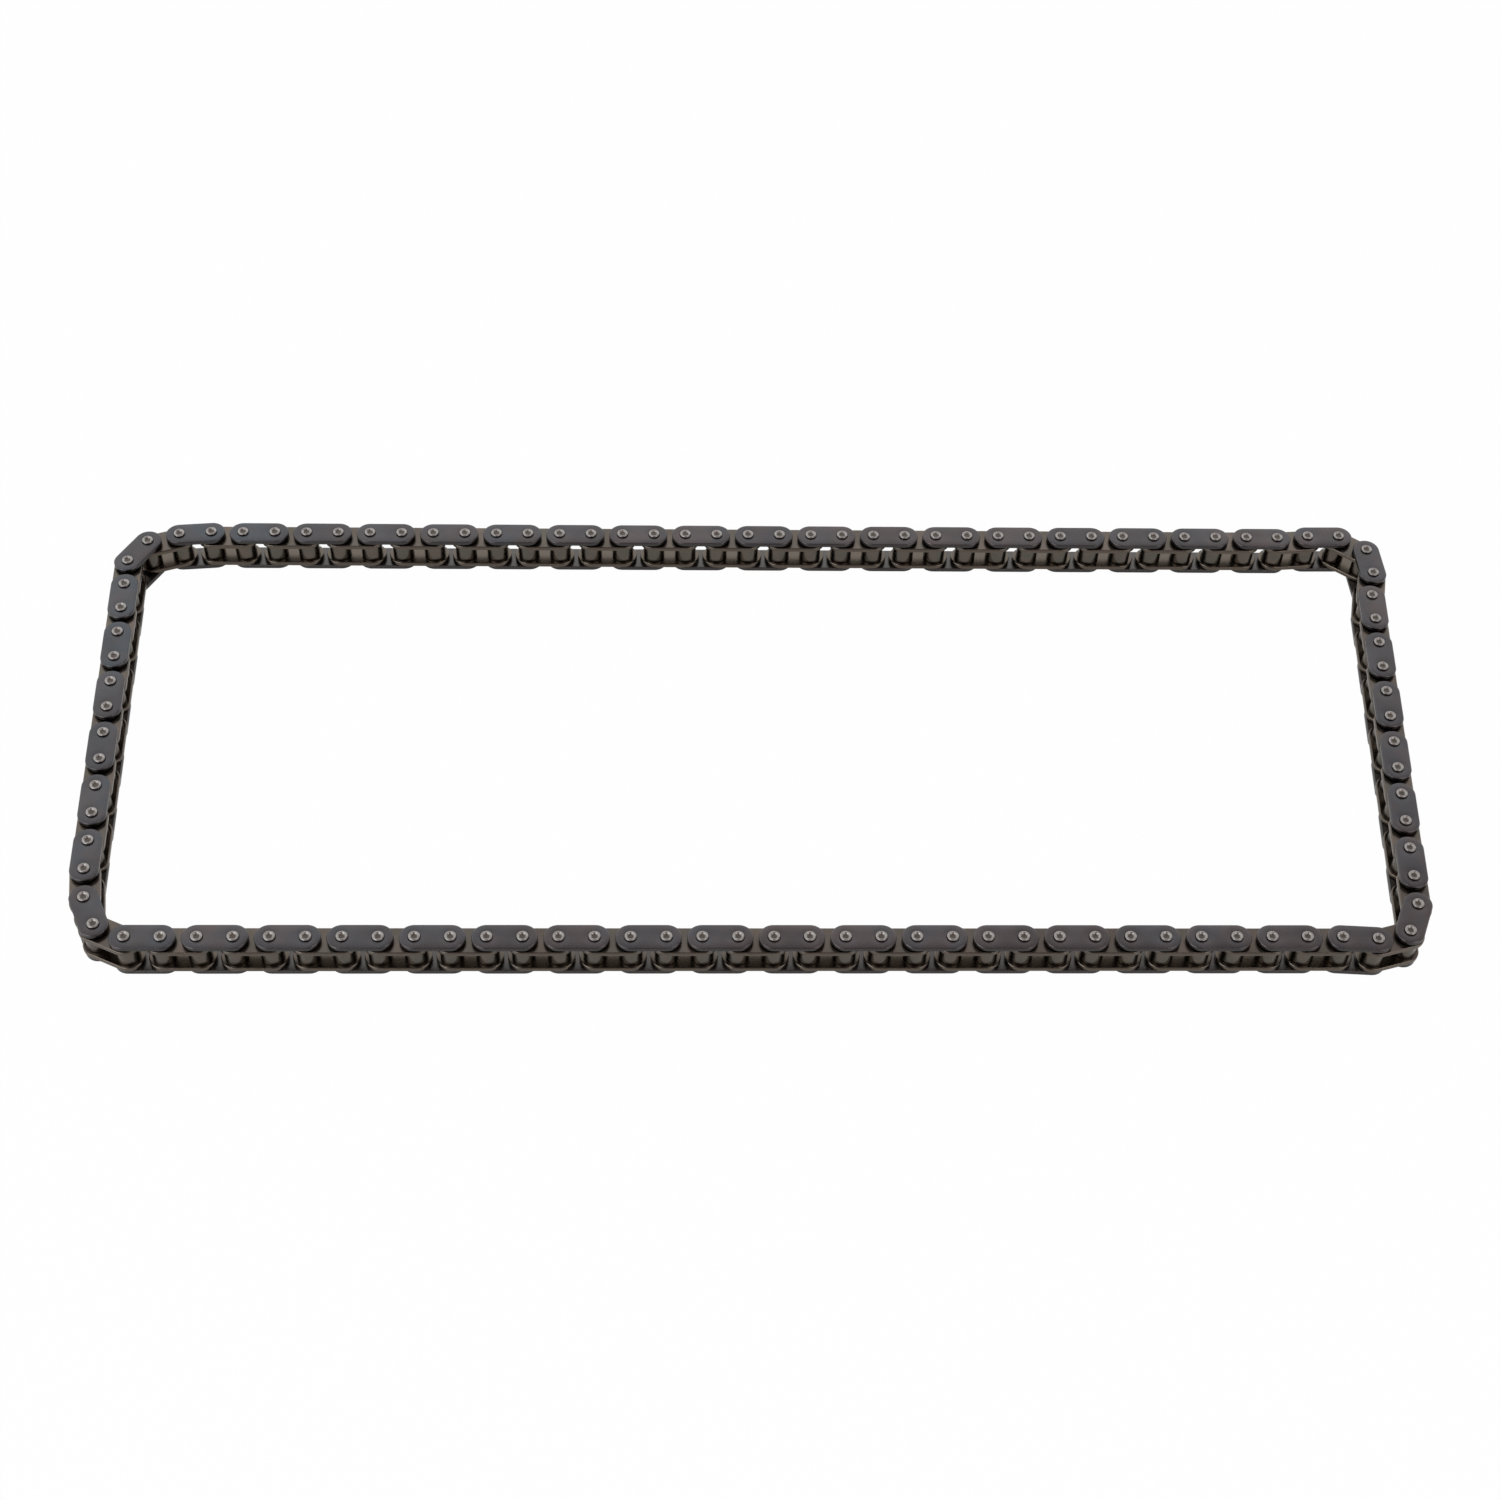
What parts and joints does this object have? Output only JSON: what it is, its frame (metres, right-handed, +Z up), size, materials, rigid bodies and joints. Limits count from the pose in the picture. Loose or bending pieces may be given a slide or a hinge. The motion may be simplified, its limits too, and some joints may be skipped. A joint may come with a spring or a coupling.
{
  "type": "roller timing chain",
  "caption": "Endless riveted single-row roller timing chain of outer and inner link plates, pins, bushes and rollers, lying on its side as a long loop.",
  "frame": {"origin": "under the middle of the loop's outline, on the plane of the lower pin ends", "axes": "+X along the long runs to the right, +Y to the back run, +Z up along the pins"},
  "size_m": [0.3826, 0.1583, 0.013],
  "materials": {
    "outer_plate": "dark blue-grey heat-treated steel, satin, edges rubbed bright",
    "inner_plate": "dark brown-grey heat-treated steel, satin",
    "pin": "bright ground steel with punched ends",
    "bush": "smooth grey steel",
    "roller": "brown-grey steel, satin, faint marks round the barrel"
  },
  "bodies": {
    "back_run_1": {"back_run_1_outer_plates": "outer_plate", "back_run_1_inner_plates": "inner_plate", "back_run_1_pins": "pin", "back_run_1_bushes": "bush", "back_run_1_rollers": "roller"},
    "back_run_2": {"back_run_2_outer_plates": "outer_plate", "back_run_2_inner_plates": "inner_plate", "back_run_2_pins": "pin", "back_run_2_bushes": "bush", "back_run_2_rollers": "roller"},
    "back_run_3": {"back_run_3_outer_plates": "outer_plate", "back_run_3_inner_plates": "inner_plate", "back_run_3_pins": "pin", "back_run_3_bushes": "bush", "back_run_3_rollers": "roller"},
    "back_run_4": {"back_run_4_outer_plates": "outer_plate", "back_run_4_inner_plates": "inner_plate", "back_run_4_pins": "pin", "back_run_4_bushes": "bush", "back_run_4_rollers": "roller"},
    "right_end": {"right_end_outer_plates": "outer_plate", "right_end_inner_plates": "inner_plate", "right_end_pins": "pin", "right_end_bushes": "bush", "right_end_rollers": "roller"},
    "front_run_4": {"front_run_4_outer_plates": "outer_plate", "front_run_4_inner_plates": "inner_plate", "front_run_4_pins": "pin", "front_run_4_bushes": "bush", "front_run_4_rollers": "roller"},
    "front_run_3": {"front_run_3_outer_plates": "outer_plate", "front_run_3_inner_plates": "inner_plate", "front_run_3_pins": "pin", "front_run_3_bushes": "bush", "front_run_3_rollers": "roller"},
    "front_run_2": {"front_run_2_outer_plates": "outer_plate", "front_run_2_inner_plates": "inner_plate", "front_run_2_pins": "pin", "front_run_2_bushes": "bush", "front_run_2_rollers": "roller"},
    "front_run_1": {"front_run_1_outer_plates": "outer_plate", "front_run_1_inner_plates": "inner_plate", "front_run_1_pins": "pin", "front_run_1_bushes": "bush", "front_run_1_rollers": "roller"},
    "left_end": {"left_end_outer_plates": "outer_plate", "left_end_inner_plates": "inner_plate", "left_end_pins": "pin", "left_end_bushes": "bush", "left_end_rollers": "roller"},
    "pivot_roller_1": {"pivot_roller_1": "roller"},
    "pivot_roller_2": {"pivot_roller_2": "roller"},
    "pivot_roller_3": {"pivot_roller_3": "roller"},
    "pivot_roller_4": {"pivot_roller_4": "roller"},
    "pivot_roller_5": {"pivot_roller_5": "roller"},
    "pivot_roller_6": {"pivot_roller_6": "roller"},
    "pivot_roller_7": {"pivot_roller_7": "roller"},
    "pivot_roller_8": {"pivot_roller_8": "roller"},
    "pivot_roller_9": {"pivot_roller_9": "roller"},
    "pivot_roller_10": {"pivot_roller_10": "roller"}
  },
  "joints": [
    {"name": "back_run_left_pivot", "type": "hinge", "parent": "left_end", "child": "back_run_1", "pos_m": [-0.16377, 0.07415, 0.00649], "axis": [0, 0, 1], "range_deg": [-39, 45]},
    {"name": "back_run_pivot_12", "type": "hinge", "parent": "back_run_1", "child": "back_run_2", "pos_m": [-0.08757, 0.07415, 0.00649], "axis": [0, 0, 1], "range_deg": [-30, 26]},
    {"name": "back_run_pivot_23", "type": "hinge", "parent": "back_run_2", "child": "back_run_3", "pos_m": [-0.00184, 0.07415, 0.00649], "axis": [0, 0, 1], "range_deg": [-30, 26]},
    {"name": "back_run_pivot_34", "type": "hinge", "parent": "back_run_3", "child": "back_run_4", "pos_m": [0.08388, 0.07415, 0.00649], "axis": [0, 0, 1], "range_deg": [-30, 26]},
    {"name": "back_run_right_pivot", "type": "hinge", "parent": "back_run_4", "child": "right_end", "pos_m": [0.16008, 0.07415, 0.00649], "axis": [0, 0, 1], "range_deg": [-39, 45]},
    {"name": "front_run_left_pivot", "type": "hinge", "parent": "left_end", "child": "front_run_1", "pos_m": [-0.16917, -0.0744, 0.00649], "axis": [0, 0, 1], "range_deg": [-45, 39]},
    {"name": "front_run_pivot_12", "type": "hinge", "parent": "front_run_1", "child": "front_run_2", "pos_m": [-0.09297, -0.0744, 0.00649], "axis": [0, 0, 1], "range_deg": [-26, 30]},
    {"name": "front_run_pivot_23", "type": "hinge", "parent": "front_run_2", "child": "front_run_3", "pos_m": [-0.00724, -0.0744, 0.00649], "axis": [0, 0, 1], "range_deg": [-26, 30]},
    {"name": "front_run_pivot_34", "type": "hinge", "parent": "front_run_3", "child": "front_run_4", "pos_m": [0.07848, -0.0744, 0.00649], "axis": [0, 0, 1], "range_deg": [-26, 30]},
    {"name": "pivot_roller_1_spin", "type": "hinge", "parent": "back_run_1", "child": "pivot_roller_1", "pos_m": [-0.16377, 0.07415, 0.00649], "axis": [0, 0, 1], "continuous": true},
    {"name": "pivot_roller_2_spin", "type": "hinge", "parent": "back_run_2", "child": "pivot_roller_2", "pos_m": [-0.08757, 0.07415, 0.00649], "axis": [0, 0, 1], "continuous": true},
    {"name": "pivot_roller_3_spin", "type": "hinge", "parent": "back_run_2", "child": "pivot_roller_3", "pos_m": [-0.00184, 0.07415, 0.00649], "axis": [0, 0, 1], "continuous": true},
    {"name": "pivot_roller_4_spin", "type": "hinge", "parent": "back_run_4", "child": "pivot_roller_4", "pos_m": [0.08388, 0.07415, 0.00649], "axis": [0, 0, 1], "continuous": true},
    {"name": "pivot_roller_5_spin", "type": "hinge", "parent": "right_end", "child": "pivot_roller_5", "pos_m": [0.16008, 0.07415, 0.00649], "axis": [0, 0, 1], "continuous": true},
    {"name": "pivot_roller_6_spin", "type": "hinge", "parent": "front_run_4", "child": "pivot_roller_6", "pos_m": [0.15468, -0.0744, 0.00649], "axis": [0, 0, 1], "continuous": true},
    {"name": "pivot_roller_7_spin", "type": "hinge", "parent": "front_run_3", "child": "pivot_roller_7", "pos_m": [0.07848, -0.0744, 0.00649], "axis": [0, 0, 1], "continuous": true},
    {"name": "pivot_roller_8_spin", "type": "hinge", "parent": "front_run_3", "child": "pivot_roller_8", "pos_m": [-0.00724, -0.0744, 0.00649], "axis": [0, 0, 1], "continuous": true},
    {"name": "pivot_roller_9_spin", "type": "hinge", "parent": "front_run_1", "child": "pivot_roller_9", "pos_m": [-0.09297, -0.0744, 0.00649], "axis": [0, 0, 1], "continuous": true},
    {"name": "pivot_roller_10_spin", "type": "hinge", "parent": "left_end", "child": "pivot_roller_10", "pos_m": [-0.16917, -0.0744, 0.00649], "axis": [0, 0, 1], "continuous": true}
  ],
  "couplings": [
    {"joint": "back_run_pivot_12", "follows": "back_run_left_pivot", "ratio": -0.66667},
    {"joint": "back_run_pivot_23", "follows": "back_run_left_pivot", "ratio": -0.66667},
    {"joint": "back_run_pivot_34", "follows": "back_run_left_pivot", "ratio": -0.66667},
    {"joint": "back_run_right_pivot", "follows": "back_run_left_pivot", "ratio": 1},
    {"joint": "front_run_left_pivot", "follows": "back_run_left_pivot", "ratio": -1},
    {"joint": "front_run_pivot_12", "follows": "back_run_left_pivot", "ratio": 0.66667},
    {"joint": "front_run_pivot_23", "follows": "back_run_left_pivot", "ratio": 0.66667},
    {"joint": "front_run_pivot_34", "follows": "back_run_left_pivot", "ratio": 0.66667}
  ]
}
